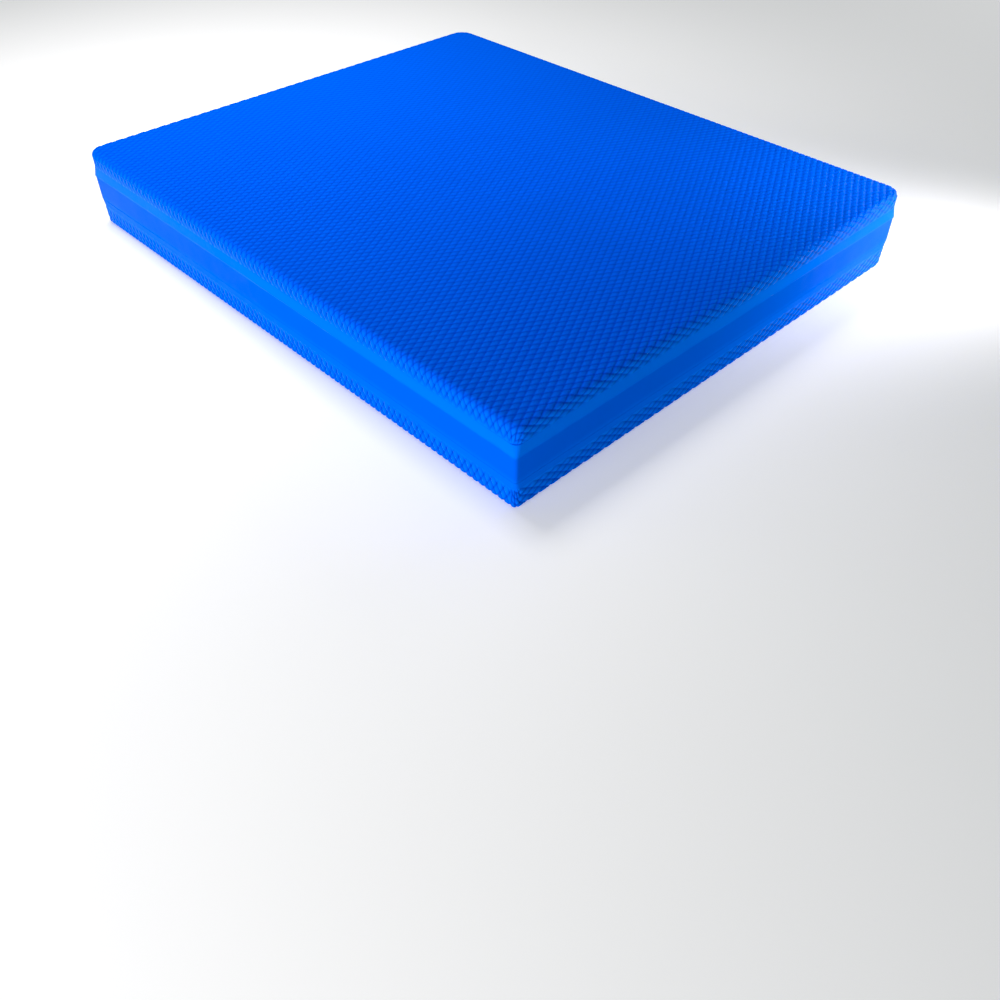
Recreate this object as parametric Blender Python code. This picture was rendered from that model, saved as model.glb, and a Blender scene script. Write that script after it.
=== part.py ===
"""A foam balance pad: two cover sheets pressed round a core of three foam layers.

Metres, +Z up. The origin is the middle of the underside. +X runs along the pad's long side.
The layers are welded by heat on the real pad, so the gaps here only keep the solids apart.
"""

from collections import namedtuple
from math import cos, pi, radians, sin

import bmesh
import bpy

LENGTH = 0.480
WIDTH = 0.400
HEIGHT = 0.060

SHEET = 0.004  # thickness of a cover sheet's flat face
SKIRT = 0.003  # thickness of a cover sheet where it turns down the side
LINING_RADIUS = 0.003  # rounding inside a cover sheet, and of the core that fills it
GAP = 0.0003  # clearance between neighbouring pieces

UPPER_CORE_DEPTH = 0.0205  # depth of the upper core layer's lower edge, from the top face
LOWER_CORE_DEPTH = 0.0210  # height of the lower core layer's upper edge, from the underside
MIDDLE_INSET = 0.0004  # how far the middle layer's side stands back from the widest outline

# The pad is cut by hand, so each corner has a radius of its own: (side in X, side in Y, radius).
CORNERS = (
    (1, -1, 0.002),
    (1, 1, 0.0085),
    (-1, 1, 0.010),
    (-1, -1, 0.0085),
)
CORNER_STEPS = 8
ARC_STEPS = 6
SHARP_ANGLE = radians(35)

# A cover sheet, measured from its own flat face:
# band         how far its skirt reaches along the pad's side
# edge_radius  rounding between its flat face and its skirt
# wall_inset   distance of the skirt from the pad's widest outline, next to the rounding
# rim_inset    the same at the skirt's rim
# core_inset   the same on the core's bare side, just past the rim
# join_inset   the same where that core layer meets the middle layer
# softening    extra rounding of the four corners, from the pressing
Cover = namedtuple(
    "Cover", "band edge_radius wall_inset rim_inset core_inset join_inset softening"
)
TOP = Cover(0.0125, 0.0040, 0.0004, 0.0003, 0.0008, 0.0, 0.0045)
BOTTOM = Cover(0.0160, 0.0030, 0.0006, 0.0002, 0.0003, 0.0005, 0.0020)

Section = namedtuple("Section", "depth inset softening")
Foam = namedtuple("Foam", "colour roughness")

EMBOSSED_FOAM = Foam((0.004, 0.118, 0.78), 0.48)
PLAIN_FOAM = Foam((0.004, 0.135, 0.82), 0.42)
CUT_FOAM = Foam((0.004, 0.110, 0.74), 0.45)


def clear_scene():
    for thing in list(bpy.data.objects):
        bpy.data.objects.remove(thing, do_unlink=True)


def foam_material(name, foam):
    material = bpy.data.materials.new(name)
    material.use_nodes = True
    shader = material.node_tree.nodes["Principled BSDF"]
    shader.inputs["Base Color"].default_value = (*foam.colour, 1.0)
    shader.inputs["Roughness"].default_value = foam.roughness
    shader.inputs["Metallic"].default_value = 0.0
    return material


def outline(inset, softening):
    """The pad's outline, this far inside its widest one, as points running anticlockwise."""
    points = []
    for number, (side_x, side_y, corner_radius) in enumerate(CORNERS):
        radius = corner_radius + softening
        centre_x = side_x * (LENGTH / 2 - inset - radius)
        centre_y = side_y * (WIDTH / 2 - inset - radius)
        for step in range(CORNER_STEPS + 1):
            angle = (number - 1 + step / CORNER_STEPS) * pi / 2
            points.append((centre_x + radius * cos(angle), centre_y + radius * sin(angle)))
    return points


def rounding(depth, inset, radius, softening):
    """Sections of a quarter round, from a flat face at this depth to a wall at this inset."""
    sections = []
    for step in range(ARC_STEPS + 1):
        angle = step / ARC_STEPS * pi / 2
        arc_depth = depth + radius * (1 - cos(angle))
        arc_inset = inset + radius * (1 - sin(angle))
        sections.append(Section(arc_depth, arc_inset, softening))
    return sections


def loft(name, sections, face_height, direction, foam, parent):
    """A closed solid through the sections, whose depths run from face_height in this direction."""
    shape = bmesh.new()
    rings = []
    for section in sections:
        z = direction * section.depth
        points = outline(section.inset, section.softening)
        rings.append([shape.verts.new((x, y, z)) for x, y in points])
    for ring, next_ring in zip(rings, rings[1:]):
        for i in range(len(ring)):
            shape.faces.new((ring[i - 1], ring[i], next_ring[i], next_ring[i - 1]))
    shape.faces.new(rings[0])
    shape.faces.new(rings[-1])
    bmesh.ops.recalc_face_normals(shape, faces=shape.faces)

    mesh = bpy.data.meshes.new(name)
    shape.to_mesh(mesh)
    shape.free()
    mesh.shade_smooth()
    mesh.set_sharp_from_angle(angle=SHARP_ANGLE)
    mesh.materials.append(foam_material(name, foam))

    piece = bpy.data.objects.new(name, mesh)
    piece.location = (0, 0, face_height)
    piece.parent = parent
    bpy.context.scene.collection.objects.link(piece)


def cover_sheet(name, cover, face_height, direction, parent):
    """A shallow tray: a flat face, a rounded edge and a thin skirt round the side."""
    lining_inset = cover.wall_inset + SKIRT
    inside = rounding(SHEET, lining_inset, LINING_RADIUS, cover.softening)
    inside.append(Section(cover.band - GAP / 2, cover.rim_inset + SKIRT, cover.softening))
    outside = rounding(0, cover.wall_inset, cover.edge_radius, cover.softening)
    outside.append(Section(cover.band - GAP / 2, cover.rim_inset, cover.softening))
    loft(name, inside + outside[::-1], face_height, direction, EMBOSSED_FOAM, parent)


def covered_core(name, cover, layer_depth, face_height, direction, parent):
    """A core layer whose face fills a cover sheet, with a bare side below a narrow ledge."""
    lining_inset = cover.wall_inset + SKIRT + GAP
    sections = rounding(SHEET + GAP, lining_inset, LINING_RADIUS, cover.softening)
    ledge_depth = cover.band + GAP / 2
    sections.append(Section(ledge_depth, cover.rim_inset + SKIRT + GAP, cover.softening))
    sections.append(Section(ledge_depth, cover.core_inset, cover.softening / 2))
    sections.append(Section(layer_depth - GAP / 2, cover.join_inset, 0))
    loft(name, sections, face_height, direction, PLAIN_FOAM, parent)


def middle_core(name, parent):
    """The middle layer, whose side stands back a little from the layers over and under it."""
    sections = [
        Section(UPPER_CORE_DEPTH + GAP / 2, MIDDLE_INSET, 0),
        Section(HEIGHT - LOWER_CORE_DEPTH - GAP / 2, MIDDLE_INSET, 0),
    ]
    loft(name, sections, HEIGHT, -1, CUT_FOAM, parent)


def build():
    clear_scene()
    pad = bpy.data.objects.new("balance_pad", None)
    bpy.context.scene.collection.objects.link(pad)
    cover_sheet("top_cover_sheet", TOP, HEIGHT, -1, pad)
    covered_core("upper_core_layer", TOP, UPPER_CORE_DEPTH, HEIGHT, -1, pad)
    middle_core("middle_core_layer", pad)
    covered_core("lower_core_layer", BOTTOM, LOWER_CORE_DEPTH, 0, 1, pad)
    cover_sheet("bottom_cover_sheet", BOTTOM, 0, 1, pad)


build()
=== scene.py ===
"""The looks of the foam balance pad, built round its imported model.

Metres, +Z up, in the model's own frame: +X along the pad's long side, the floor at z = 0.
Two cover sheets, pressed with a net of rhombic tiles, wrap round a core of three plain layers.
"""

from collections import namedtuple
from math import cos, hypot, pi, radians, sin

import bmesh
import bpy
import numpy as np
from mathutils import Matrix, Vector, noise


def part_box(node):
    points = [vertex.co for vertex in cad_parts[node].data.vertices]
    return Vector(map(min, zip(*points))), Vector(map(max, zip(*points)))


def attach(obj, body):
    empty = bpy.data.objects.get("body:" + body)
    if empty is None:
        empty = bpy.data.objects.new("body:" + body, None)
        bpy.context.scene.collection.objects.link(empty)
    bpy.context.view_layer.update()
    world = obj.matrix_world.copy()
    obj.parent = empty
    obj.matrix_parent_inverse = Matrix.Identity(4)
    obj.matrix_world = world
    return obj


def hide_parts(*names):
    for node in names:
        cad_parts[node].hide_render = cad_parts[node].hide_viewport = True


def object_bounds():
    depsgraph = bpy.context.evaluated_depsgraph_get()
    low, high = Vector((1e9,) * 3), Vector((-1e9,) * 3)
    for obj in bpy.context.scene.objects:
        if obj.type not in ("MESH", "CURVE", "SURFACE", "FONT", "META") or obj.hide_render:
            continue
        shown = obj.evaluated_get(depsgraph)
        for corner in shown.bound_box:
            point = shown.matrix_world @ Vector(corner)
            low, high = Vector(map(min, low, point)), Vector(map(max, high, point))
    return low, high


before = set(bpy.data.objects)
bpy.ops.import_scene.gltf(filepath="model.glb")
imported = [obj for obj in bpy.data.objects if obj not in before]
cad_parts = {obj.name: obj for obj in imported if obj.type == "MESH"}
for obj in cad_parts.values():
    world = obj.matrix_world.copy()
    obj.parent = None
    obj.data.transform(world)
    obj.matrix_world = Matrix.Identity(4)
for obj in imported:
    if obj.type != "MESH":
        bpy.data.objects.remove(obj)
cad_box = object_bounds()
PAD_LOW, PAD_HIGH = cad_box
LENGTH, WIDTH, HEIGHT = PAD_HIGH - PAD_LOW
MM = 0.001

# The pressed pattern, in whole periods along each side of the pad.
TILES_ALONG = 90
TILES_ACROSS = 42
TILE_X = LENGTH / TILES_ALONG  # a tile's short diagonal
TILE_Y = WIDTH / TILES_ACROSS  # a tile's long diagonal
TILE_LINES = (0.0, 0.24, 0.76)  # where each tile's grid lines lie between two grooves
PIT_DEPTH = 0.90 * MM  # depth where two grooves cross
GROOVE_DEPTH = 0.66 * MM  # depth of a groove between two crossings
TILE_WEAR = 0.12 * MM  # how far the corners of a tile's top may lie from each other
FLAT_RELIEF = 0.28  # share of the relief left at the far left corner, where the press bit least
RELIEF_RISE = 0.7  # how fast the relief grows from there towards the near right corner
SHEET = 4.0 * MM  # thickness of a cover sheet's flat face
SKIRT = 2.7 * MM  # thickness of a cover sheet where it turns down the side
RIM_FADE = 2.2 * MM  # length over which the pattern dies away above a sheet's rim
RIM_FRAY = 1.1 * MM  # how far the pattern's end wanders up and down along the rim
RIM_FRAY_LENGTH = 7 * MM
RIM_SINK = 0.45 * MM  # how far a sheet thins down at its rim
SWELL = 0.25 * MM  # how far a flat face strays from flat
SWELL_LENGTH = 90 * MM
SWELL_MARGIN = 20 * MM  # width next to the pad's edge over which it dies away
GAP = 0.3 * MM  # clearance between a core layer and the inside of a cover sheet

# Each corner has a radius of its own: (side in X, side in Y, radius).
CORNERS = (
    (1, -1, 2.0 * MM),
    (1, 1, 8.5 * MM),
    (-1, 1, 10.0 * MM),
    (-1, -1, 8.5 * MM),
)
CORNER_STEPS = 8
SIDE_STEP = 1.5 * MM  # distance of the points along a core layer's side
WAVINESS = 0.16 * MM  # how far a hand-cut side strays from straight
WAVE_LENGTH = 45 * MM
PRESSED_GLOSS = 0.08  # specular level of the foam that the hot press has smoothed
BARE_GLOSS = 0.05  # specular level of the foam beside it

# One cover sheet: its flat face's height, the way it faces, and its outline, as in the model.
Cover = namedtuple("Cover", "node face direction edge_radius wall_inset rim_inset softening")
# One level of a core layer's side: its height, its inset from the widest outline, its rounding.
Level = namedtuple("Level", "z inset softening")


# ---------------------------------------------------------------- shapes


def corner_radius(x, y, softening):
    for side_x, side_y, radius in CORNERS:
        if side_x * x >= 0 and side_y * y >= 0:
            return radius + softening
    return softening


def nearest_edge(x, y, half_x, half_y, softening):
    """Distance of a point outside a rounded rectangle, its nearest edge point and the way out."""
    radius = corner_radius(x, y, softening)
    side_x = 1 if x >= 0 else -1
    side_y = 1 if y >= 0 else -1
    past_x = abs(x) - (half_x - radius)
    past_y = abs(y) - (half_y - radius)
    if past_x > 0 and past_y > 0:
        reach = hypot(past_x, past_y)
        out = Vector((side_x * past_x / reach, side_y * past_y / reach, 0))
        edge = Vector((side_x * (half_x - radius), side_y * (half_y - radius), 0)) + out * radius
        return reach - radius, edge, out
    if past_x > past_y:
        return past_x - radius, Vector((side_x * half_x, y, 0)), Vector((side_x, 0, 0))
    return past_y - radius, Vector((x, side_y * half_y, 0)), Vector((0, side_y, 0))


def smooth_step(value):
    value = min(max(value, 0.0), 1.0)
    return value * value * (3 - 2 * value)


def tile_net(reach):
    """A flat net of tiles out to reach past the pad's sides: points (x, y, height) and faces.

    The grooves run along two slanted axes, a and b, and cross at whole numbers of both.
    """
    half_x = LENGTH / 2 + reach + TILE_X
    half_y = WIDTH / 2 + reach + TILE_Y
    furthest = int(half_x / TILE_X + half_y / TILE_Y) + 1
    lines = len(TILE_LINES)
    wear = np.random.default_rng(7)
    points = []
    faces = []
    known = {}

    def grid_point(line_a, line_b):
        """The point where two grid lines cross, shared by the faces round it."""
        if (line_a, line_b) not in known:
            tile_a, part_a = divmod(line_a, lines)
            tile_b, part_b = divmod(line_b, lines)
            a = tile_a + TILE_LINES[part_a]
            b = tile_b + TILE_LINES[part_b]
            if part_a and part_b:
                height = -wear.uniform(0, TILE_WEAR)
            elif part_a or part_b:
                height = -GROOVE_DEPTH
            else:
                height = -PIT_DEPTH
            known[line_a, line_b] = len(points)
            points.append(((a - b) * TILE_X / 2, (a + b) * TILE_Y / 2, height))
        return known[line_a, line_b]

    for tile_a in range(-furthest, furthest):
        for tile_b in range(-furthest, furthest):
            x = (tile_a - tile_b) * TILE_X / 2
            y = (tile_a + tile_b + 1) * TILE_Y / 2
            if abs(x) > half_x or abs(y) > half_y:
                continue
            for line_a in range(tile_a * lines, (tile_a + 1) * lines):
                for line_b in range(tile_b * lines, (tile_b + 1) * lines):
                    corners = ((0, 0), (1, 0), (1, 1), (0, 1))
                    faces.append(tuple(grid_point(line_a + i, line_b + j) for i, j in corners))
    return points, faces


def relief_share(x, y):
    """How much of the full relief the press left here: all of it at the near right corner."""
    along = (x + LENGTH / 2) / LENGTH + (WIDTH / 2 - y) / WIDTH
    return FLAT_RELIEF + (1 - FLAT_RELIEF) * smooth_step(RELIEF_RISE * along)


def trimmed(points, faces, cover, half_x, half_y, rim):
    """The net cut off along the sheet's rim, which lies this far past its flat face."""
    moved = []
    beyond = []
    for x, y, height in points:
        past, edge, out = nearest_edge(x, y, half_x, half_y, cover.softening - cover.edge_radius)
        beyond.append(past >= rim)
        if past > rim:
            x, y = (edge + out * rim).xy
        moved.append((x, y, height))
    kept = [face for face in faces if not all(beyond[corner] for corner in face)]
    return moved, kept


def refine_edge(shape, cover, half_x, half_y):
    """Splits the faces that turn round the pad's edge, so that they follow its rounding."""
    near = set()
    for vert in shape.verts:
        past, _, _ = nearest_edge(*vert.co.xy, half_x, half_y, cover.softening - cover.edge_radius)
        if -TILE_X / 2 < past < cover.edge_radius * pi / 2 + TILE_X / 2:
            near.add(vert)
    edges = [edge for edge in shape.edges if near.issuperset(edge.verts)]
    bmesh.ops.subdivide_edges(shape, edges=edges, cuts=1, use_grid_fill=True)


def wrapped(point, cover, half_x, half_y, rim):
    """Where a point of the flat net lands on the pad, and how much of its relief is left."""
    x, y, height = point
    past, edge, out = nearest_edge(x, y, half_x, half_y, cover.softening - cover.edge_radius)
    up = Vector((0, 0, cover.direction))
    fray = RIM_FRAY * noise.noise(Vector((x, y, 0)) / RIM_FRAY_LENGTH)
    fade = smooth_step((rim - past + fray) / RIM_FADE)
    kept = fade * relief_share(x, y)
    lift = height * kept - RIM_SINK * (1 - fade)
    if past <= 0:
        swell = SWELL * (noise.noise(Vector((x, y, cover.face)) / SWELL_LENGTH) - 0.5)
        swell *= smooth_step(-past / SWELL_MARGIN)
        return Vector((x, y, cover.face)) + up * (lift + swell), kept
    turn = min(past / cover.edge_radius, pi / 2)
    down = max(past - cover.edge_radius * pi / 2, 0)
    wall = rim - cover.edge_radius * pi / 2
    drift = (cover.wall_inset - cover.rim_inset) * down / wall
    centre = Vector((edge.x, edge.y, cover.face)) - up * cover.edge_radius
    normal = out * sin(turn) + up * cos(turn)
    return centre + normal * (cover.edge_radius + lift) + out * drift - up * down, kept


def close_body(shape, cover):
    """Gives the sheet its thickness: a rim, an inner wall and a ceiling that the core fills."""
    edges = [edge for edge in shape.edges if edge.is_boundary]
    made = bmesh.ops.extrude_edge_only(shape, edges=edges)["geom"]
    for vert in [part for part in made if isinstance(part, bmesh.types.BMVert)]:
        _, _, out = nearest_edge(*vert.co.xy, 0.9 * LENGTH / 2, 0.9 * WIDTH / 2, SHEET)
        vert.co -= out * SKIRT
    edges = [part for part in made if isinstance(part, bmesh.types.BMEdge) and part.is_boundary]
    made = bmesh.ops.extrude_edge_only(shape, edges=edges)["geom"]
    for vert in [part for part in made if isinstance(part, bmesh.types.BMVert)]:
        vert.co.z = cover.face - cover.direction * SHEET
    edges = [part for part in made if isinstance(part, bmesh.types.BMEdge) and part.is_boundary]
    bmesh.ops.edgeloop_fill(shape, edges=edges)
    bmesh.ops.recalc_face_normals(shape, faces=shape.faces)


def pressed_sheet(name, cover):
    """A cover sheet with its pressed tiles, wrapped over the pad's edge down to its rim."""
    low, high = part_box(cover.node)
    band = high.z - low.z
    half_x = LENGTH / 2 - cover.wall_inset - cover.edge_radius
    half_y = WIDTH / 2 - cover.wall_inset - cover.edge_radius
    rim = cover.edge_radius * pi / 2 + band - cover.edge_radius
    points, faces = tile_net(band)
    points, faces = trimmed(points, faces, cover, half_x, half_y, rim)

    flat = bpy.data.meshes.new(name)
    flat.from_pydata(points, [], faces)
    shape = bmesh.new()
    shape.from_mesh(flat)
    bpy.data.meshes.remove(flat)
    loose = [vert for vert in shape.verts if not vert.link_faces]
    bmesh.ops.delete(shape, geom=loose, context="VERTS")
    refine_edge(shape, cover, half_x, half_y)
    relief = shape.verts.layers.float.new("relief")
    for vert in shape.verts:
        place, kept = wrapped(vert.co, cover, half_x, half_y, rim)
        vert[relief] = 1 + kept * vert.co.z / PIT_DEPTH
        vert.co = place
    close_body(shape, cover)
    return finished_piece(name, shape)


def outline(level):
    """The pad's outline at one level of its side, as points and the way out at each."""
    places = []
    corners = []
    for number, (side_x, side_y, radius) in enumerate(CORNERS):
        rounding = radius + level.softening
        centre_x = side_x * (LENGTH / 2 - level.inset - rounding)
        centre_y = side_y * (WIDTH / 2 - level.inset - rounding)
        corners.append((Vector((centre_x, centre_y, level.z)), rounding, (number - 1) * pi / 2))
    for number, (centre, rounding, start) in enumerate(corners):
        for step in range(CORNER_STEPS + 1):
            angle = start + step / CORNER_STEPS * pi / 2
            out = Vector((cos(angle), sin(angle), 0))
            places.append((centre + out * rounding, out))
        next_centre, next_rounding, next_start = corners[(number + 1) % 4]
        out = Vector((cos(next_start), sin(next_start), 0))
        last = centre + out * rounding
        first = next_centre + out * next_rounding
        nominal = WIDTH if number % 2 == 0 else LENGTH
        steps = int(nominal / SIDE_STEP)
        for step in range(1, steps):
            places.append((last.lerp(first, step / steps), out))
    return places


def side_wave(place):
    """How far the hand-cut side strays from straight at this place."""
    stray = noise.noise(place / WAVE_LENGTH) + 0.35 * noise.noise(place / (WAVE_LENGTH / 6))
    return WAVINESS * stray


def core_layer(name, levels, hidden_top, hidden_bottom):
    """A closed body through the levels of a layer's side, listed from its lower face upwards."""
    shape = bmesh.new()
    rings = []
    for level in [*hidden_bottom, *levels, *hidden_top]:
        ring = []
        for place, out in outline(level):
            moved = place + out * side_wave(place) if level in levels else place
            ring.append(shape.verts.new(moved))
        rings.append(ring)
    for ring, next_ring in zip(rings, rings[1:]):
        for i in range(len(ring)):
            shape.faces.new((ring[i - 1], ring[i], next_ring[i], next_ring[i - 1]))
    shape.faces.new(rings[0])
    shape.faces.new(rings[-1])
    bmesh.ops.recalc_face_normals(shape, faces=shape.faces)
    return finished_piece(name, shape)


def levels_between(lower, upper, count):
    """Evenly spaced levels from lower to upper, both included."""
    found = []
    for step in range(count + 1):
        share = step / count
        z = lower.z + (upper.z - lower.z) * share
        inset = lower.inset + (upper.inset - lower.inset) * share
        softening = lower.softening + (upper.softening - lower.softening) * share
        found.append(Level(z, inset, softening))
    return found


def finished_piece(name, shape):
    mesh = bpy.data.meshes.new(name)
    shape.to_mesh(mesh)
    shape.free()
    mesh.shade_smooth()
    mesh.set_sharp_from_angle(angle=radians(50))
    piece = bpy.data.objects.new(name, mesh)
    bpy.context.scene.collection.objects.link(piece)
    return piece


# ---------------------------------------------------------------- materials


class Nodes:
    """Short ways to add shader nodes to one material."""

    def __init__(self, name):
        self.material = bpy.data.materials.new(name)
        self.material.use_nodes = True
        self.tree = self.material.node_tree
        self.shader = self.tree.nodes["Principled BSDF"]
        self.place = self.tree.nodes.new("ShaderNodeTexCoord").outputs["Object"]

    def link(self, source, target):
        self.tree.links.new(source, target)

    def math(self, operation, first, second, clamp=False):
        node = self.tree.nodes.new("ShaderNodeMath")
        node.operation = operation
        node.use_clamp = clamp
        for socket, value in zip(node.inputs, (first, second)):
            if isinstance(value, (int, float)):
                socket.default_value = value
            else:
                self.link(value, socket)
        return node.outputs[0]

    def attribute(self, name):
        node = self.tree.nodes.new("ShaderNodeAttribute")
        node.attribute_name = name
        return node.outputs["Fac"]

    def noise(self, size, detail=2.0, stretch=(1, 1, 1)):
        """Noise from 0 to 1, whose blobs have this size in metres."""
        mapping = self.tree.nodes.new("ShaderNodeMapping")
        mapping.inputs["Scale"].default_value = stretch
        self.link(self.place, mapping.inputs["Vector"])
        node = self.tree.nodes.new("ShaderNodeTexNoise")
        node.inputs["Scale"].default_value = 1 / size
        node.inputs["Detail"].default_value = detail
        self.link(mapping.outputs["Vector"], node.inputs["Vector"])
        return node.outputs["Fac"]

    def cells(self, size):
        """Distance to the nearest cell centre, for foam cells of this size in metres."""
        node = self.tree.nodes.new("ShaderNodeTexVoronoi")
        node.inputs["Scale"].default_value = 1 / size
        self.link(self.place, node.inputs["Vector"])
        return node.outputs["Distance"]

    def between(self, factor, low, high):
        """A number running from low to high as factor runs from 0 to 1."""
        node = self.tree.nodes.new("ShaderNodeMapRange")
        node.inputs["To Min"].default_value = low
        node.inputs["To Max"].default_value = high
        self.link(factor, node.inputs["Value"])
        return node.outputs["Result"]

    def step(self, value, start, end):
        """A soft step from 0 to 1 as value runs from start to end."""
        node = self.tree.nodes.new("ShaderNodeMapRange")
        node.interpolation_type = "SMOOTHSTEP"
        node.inputs["From Min"].default_value = start
        node.inputs["From Max"].default_value = end
        self.link(value, node.inputs["Value"])
        return node.outputs["Result"]

    def height(self):
        """Height above the floor, in metres."""
        node = self.tree.nodes.new("ShaderNodeSeparateXYZ")
        self.link(self.place, node.inputs[0])
        return node.outputs["Z"]

    def mix(self, factor, first, second):
        """A colour running from first to second as factor runs from 0 to 1."""
        node = self.tree.nodes.new("ShaderNodeMix")
        node.data_type = "RGBA"
        self.link(factor, node.inputs["Factor"])
        for socket, value in ((node.inputs["A"], first), (node.inputs["B"], second)):
            if isinstance(value, tuple):
                socket.default_value = (*value, 1)
            else:
                self.link(value, socket)
        return node.outputs["Result"]

    def bump(self, height, distance, base=None):
        node = self.tree.nodes.new("ShaderNodeBump")
        node.inputs["Distance"].default_value = distance
        self.link(height, node.inputs["Height"])
        if base is not None:
            self.link(base, node.inputs["Normal"])
        return node.outputs["Normal"]

    def finish(self, colour, roughness, normal, gloss):
        self.link(colour, self.shader.inputs["Base Color"])
        self.link(roughness, self.shader.inputs["Roughness"])
        self.link(normal, self.shader.inputs["Normal"])
        self.shader.inputs["Specular IOR Level"].default_value = gloss
        self.shader.inputs["Specular Tint"].default_value = (0.02, 0.45, 1.0, 1.0)
        self.shader.inputs["Sheen Weight"].default_value = 0.05
        self.shader.inputs["Sheen Roughness"].default_value = 0.45
        self.shader.inputs["Sheen Tint"].default_value = (0.0, 0.20, 1.0, 1.0)
        return self.material


def foam_colour(nodes, deep, plain, light):
    """The foam's blue: soft clouds between two shades, and a fine mottling towards a third."""
    clouds = nodes.mix(nodes.noise(60 * MM, 3.0), deep, plain)
    return nodes.mix(nodes.between(nodes.noise(0.7 * MM, 2.0), 0.0, 0.35), clouds, light)


def pressed_foam():
    """Foam under the hot press, with painted shade in its grooves and painted light where the sheet
    turns down the side.
    """
    nodes = Nodes("pressed_foam")
    relief = nodes.attribute("relief")
    tops = foam_colour(nodes, (0.0, 0.104, 0.86), (0.0, 0.117, 0.91), (0.0, 0.141, 0.95))
    height = nodes.height()
    depth = nodes.math("MINIMUM", height, nodes.math("SUBTRACT", HEIGHT, height))
    # Painted light: the sheet is coloured lighter where it turns down the side, as where the side
    # catches more light, and its grooves' painted shade is darker there.
    painted_side_light = nodes.math("MULTIPLY", nodes.step(depth, 0.5 * MM, 4.0 * MM), 0.7)
    tops = nodes.mix(painted_side_light, tops, (0.0, 0.178, 0.98))
    # Painted shade: the grooves take a darker blue than the tile tops, as where shade falls in
    # them.
    grooves = nodes.mix(painted_side_light, (0.0, 0.046, 0.60), (0.0, 0.034, 0.56))
    colour = nodes.mix(relief, grooves, tops)
    roughness = nodes.between(nodes.noise(9 * MM, 4.0), 0.28, 0.44)
    cells = nodes.bump(nodes.cells(0.45 * MM), 0.03 * MM)
    normal = nodes.bump(nodes.noise(1.6 * MM, 3.0), 0.10 * MM, cells)
    return nodes.finish(colour, roughness, normal, PRESSED_GLOSS)


def side_colour(nodes):
    """The bare side's blue, with painted light: the strips above and below the cut middle band are
    coloured lighter, as where they catch more light.
    """
    low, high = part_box("middle_core_layer")
    wobble = nodes.between(nodes.noise(14 * MM, 3.0), -1.2 * MM, 1.2 * MM)
    height = nodes.math("ADD", nodes.height(), wobble)
    # Painted light: the strip above the middle band is coloured lighter, as where it catches more
    # light.
    over = nodes.step(height, high.z - 1.6 * MM, high.z + 2.2 * MM)
    # Painted light: the strip below the middle band is coloured a little lighter, as where light
    # bounces up onto it.
    under = nodes.math("MULTIPLY", nodes.step(height, low.z + 4.0 * MM, low.z), 0.45)
    middle = foam_colour(nodes, (0.0, 0.096, 0.77), (0.0, 0.106, 0.83), (0.0, 0.122, 0.88))
    painted_lit_strip = foam_colour(nodes, (0.0, 0.148, 0.94), (0.0, 0.166, 0.96), (0.0, 0.184, 0.98))
    return nodes.mix(nodes.math("ADD", over, under, clamp=True), middle, painted_lit_strip)


def plain_foam():
    nodes = Nodes("plain_foam")
    roughness = nodes.between(nodes.noise(12 * MM, 4.0), 0.38, 0.54)
    cells = nodes.bump(nodes.cells(0.50 * MM), 0.02 * MM)
    normal = nodes.bump(nodes.noise(2.5 * MM, 3.0), 0.06 * MM, cells)
    return nodes.finish(side_colour(nodes), roughness, normal, BARE_GLOSS)


def cut_foam():
    nodes = Nodes("cut_foam")
    streaks = nodes.noise(4 * MM, 3.0, stretch=(0.08, 0.08, 1))
    roughness = nodes.between(nodes.noise(15 * MM, 4.0), 0.40, 0.56)
    cells = nodes.bump(nodes.cells(0.40 * MM), 0.02 * MM)
    normal = nodes.bump(streaks, 0.05 * MM, cells)
    return nodes.finish(side_colour(nodes), roughness, normal, BARE_GLOSS)


def floor_material():
    """A matt floor with a faint glow, which keeps it as pale as the backdrop."""
    nodes = Nodes("pale_floor")
    colour = nodes.mix(nodes.noise(0.4, 2.0), (0.80, 0.80, 0.80), (0.84, 0.84, 0.84))
    nodes.link(colour, nodes.shader.inputs["Base Color"])
    nodes.shader.inputs["Roughness"].default_value = 0.8
    nodes.shader.inputs["Specular IOR Level"].default_value = 0.2
    nodes.shader.inputs["Emission Color"].default_value = (1.0, 1.0, 1.0, 1.0)
    nodes.shader.inputs["Emission Strength"].default_value = 0.30
    return nodes.material


# ---------------------------------------------------------------- pieces


def dress(piece, material, node):
    piece.data.materials.append(material)
    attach(piece, "root")
    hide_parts(node)


def make_sheets():
    material = pressed_foam()
    top = Cover("top_cover_sheet", HEIGHT, 1, 4.0 * MM, 0.4 * MM, 0.3 * MM, 4.5 * MM)
    bottom = Cover("bottom_cover_sheet", 0.0, -1, 3.0 * MM, 0.6 * MM, 0.2 * MM, 2.0 * MM)
    dress(pressed_sheet("pressed_top_sheet", top), material, top.node)
    dress(pressed_sheet("pressed_bottom_sheet", bottom), material, bottom.node)


def make_upper_core(material):
    low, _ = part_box("upper_core_layer")
    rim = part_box("top_cover_sheet")[0].z
    inside = HEIGHT - SHEET - GAP
    lip = Level(low.z, 0.15 * MM, 0.0)
    join = Level(low.z + 0.2 * MM, 0.0, 0.0)
    ledge = Level(rim - 0.1 * MM, 0.75 * MM, 2.25 * MM)
    side = [lip, *levels_between(join, ledge, 6)]
    hidden = [Level(ledge.z, 3.8 * MM, 4.5 * MM), Level(inside, 3.8 * MM, 4.5 * MM)]
    piece = core_layer("upper_core_foam", side, hidden, [])
    dress(piece, material, "upper_core_layer")


def make_middle_core():
    low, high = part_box("middle_core_layer")
    side = levels_between(Level(low.z, 0.4 * MM, 0.0), Level(high.z, 0.4 * MM, 0.0), 12)
    piece = core_layer("middle_core_foam", side, [], [])
    dress(piece, cut_foam(), "middle_core_layer")


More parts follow.
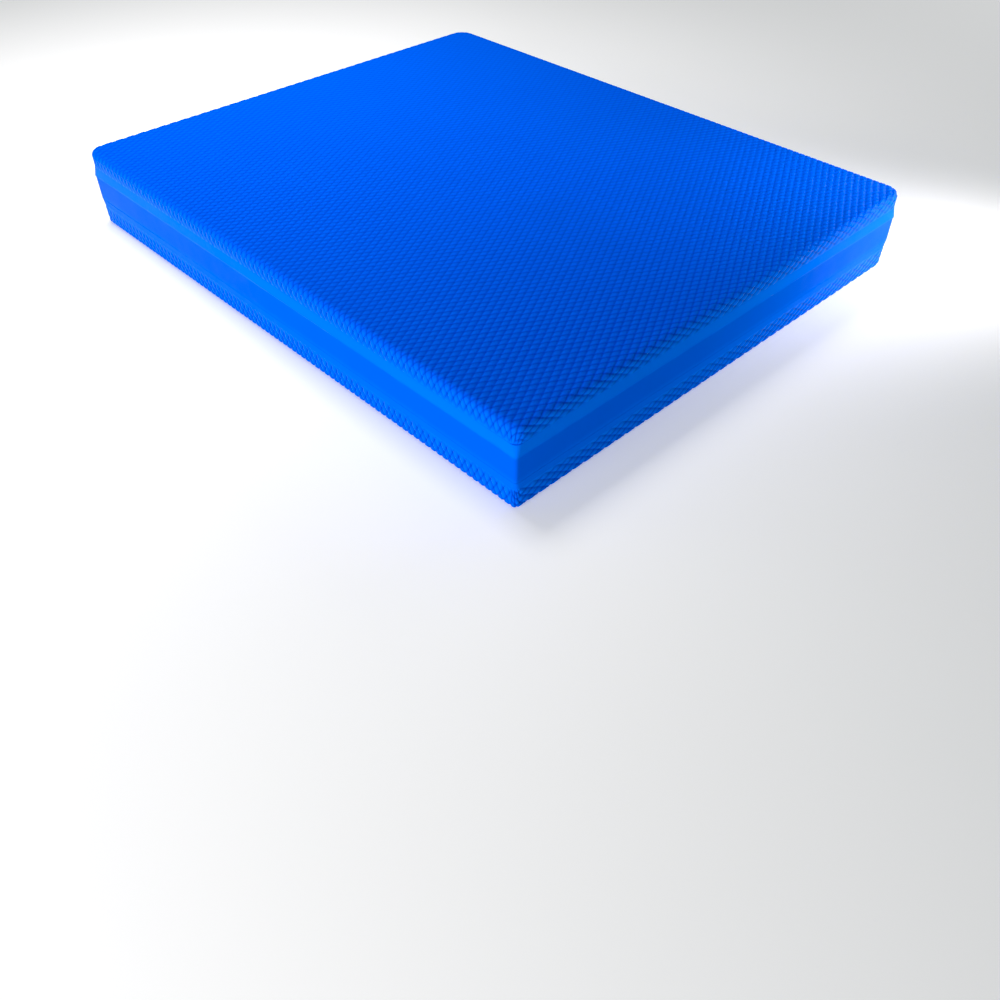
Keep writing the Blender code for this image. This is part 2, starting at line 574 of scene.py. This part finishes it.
def make_lower_core(material):
    _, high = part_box("lower_core_layer")
    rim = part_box("bottom_cover_sheet")[1].z
    ledge = Level(rim + 0.1 * MM, 0.6 * MM, 1.5 * MM)
    join = Level(high.z, 0.45 * MM, 0.0)
    side = levels_between(ledge, join, 4)
    hidden = [Level(SHEET + GAP, 3.9 * MM, 3.0 * MM), Level(ledge.z, 3.9 * MM, 3.0 * MM)]
    piece = core_layer("lower_core_foam", side, [], hidden)
    dress(piece, material, "lower_core_layer")


# ---------------------------------------------------------------- stage


def make_floor():
    mesh = bpy.data.meshes.new("floor")
    shape = bmesh.new()
    bmesh.ops.create_circle(shape, cap_ends=True, segments=96, radius=30 * LENGTH)
    shape.to_mesh(mesh)
    shape.free()
    mesh.materials.append(floor_material())
    floor = bpy.data.objects.new("floor", mesh)
    floor.location.z = -0.2 * MM
    bpy.context.scene.collection.objects.link(floor)


def make_world():
    """A faint fill from all sides, behind which the camera sees a pale backdrop."""
    world = bpy.data.worlds.new("studio")
    world.use_nodes = True
    tree = world.node_tree
    fill = tree.nodes["Background"]
    fill.inputs["Color"].default_value = (0.93, 0.96, 1.0, 1.0)
    fill.inputs["Strength"].default_value = 0.10
    backdrop = tree.nodes.new("ShaderNodeBackground")
    backdrop.inputs["Color"].default_value = (0.80, 0.82, 0.85, 1.0)
    seen = tree.nodes.new("ShaderNodeLightPath").outputs["Is Camera Ray"]
    either = tree.nodes.new("ShaderNodeMixShader")
    tree.links.new(seen, either.inputs["Fac"])
    tree.links.new(fill.outputs["Background"], either.inputs[1])
    tree.links.new(backdrop.outputs["Background"], either.inputs[2])
    tree.links.new(either.outputs["Shader"], tree.nodes["World Output"].inputs["Surface"])
    bpy.context.scene.world = world


def softbox(name, place, target, width, height, power, spread=180):
    light = bpy.data.lights.new(name, "AREA")
    light.shape = "RECTANGLE"
    light.size = width
    light.size_y = height
    light.energy = power
    light.spread = radians(spread)
    lamp = bpy.data.objects.new(name, light)
    lamp.location = place
    lamp.rotation_euler = (Vector(target) - Vector(place)).to_track_quat("-Z", "Y").to_euler()
    lamp.visible_camera = False
    bpy.context.scene.collection.objects.link(lamp)


def make_lights():
    """A high key over the left end, two along the long side, a narrow one and a faint rear fill."""
    left_end = (-0.3, -0.08, HEIGHT)
    side = (0.0, -0.15, HEIGHT / 2)
    near_left = (-0.22, -0.2, HEIGHT / 2)
    right_corner = (LENGTH / 2, 0.22, HEIGHT * 0.7)
    behind = (0.1, 0.3, 0.0)
    softbox("top_key", (-0.3, -0.08, 0.95), left_end, 0.4, 0.4, 2.45, spread=90)
    softbox("left_front_key", (-0.55, -0.65, 0.20), near_left, 0.4, 0.3, 0.4, spread=120)
    softbox("front_key", (0.42, -1.14, 0.36), side, 0.7, 0.4, 8.8)
    softbox("right_key", (0.46, 0.42, 0.20), right_corner, 0.15, 0.15, 0.25, spread=46)
    softbox("rear_fill", (0.1, 1.2, 0.6), behind, 0.6, 0.4, 2.0)


def set_colours():
    """Plain display colours, with the faint red of the gloss taken out of the saturated blue."""
    view = bpy.context.scene.view_settings
    view.view_transform = "Standard"
    view.use_curve_mapping = True
    view.curve_mapping.black_level = (0.022, 0.0, 0.0)


def make_camera():
    """Looks down on the front corner, where the long side meets the short one."""
    camera = bpy.data.cameras.new("camera")
    camera.lens = 35.22
    camera.sensor_width = 36
    place = Vector((0.5194, -0.4819, 0.3859))
    yaw = radians(135.985)
    pitch = radians(43.443)
    roll = radians(0.084)
    ahead = Vector((cos(yaw) * cos(pitch), sin(yaw) * cos(pitch), -sin(pitch)))
    right = Vector((sin(yaw), -cos(yaw), 0))
    up = right.cross(ahead)
    rolled_right = right * cos(roll) + up * sin(roll)
    rolled_up = up * cos(roll) - right * sin(roll)
    turn = Matrix((rolled_right, rolled_up, -ahead)).transposed()
    viewer = bpy.data.objects.new("camera", camera)
    viewer.matrix_world = Matrix.Translation(place) @ turn.to_4x4()
    bpy.context.scene.collection.objects.link(viewer)
    bpy.context.scene.camera = viewer


set_colours()
make_camera()
make_sheets()
plain = plain_foam()
make_upper_core(plain)
make_middle_core()
make_lower_core(plain)
make_floor()
make_world()
make_lights()
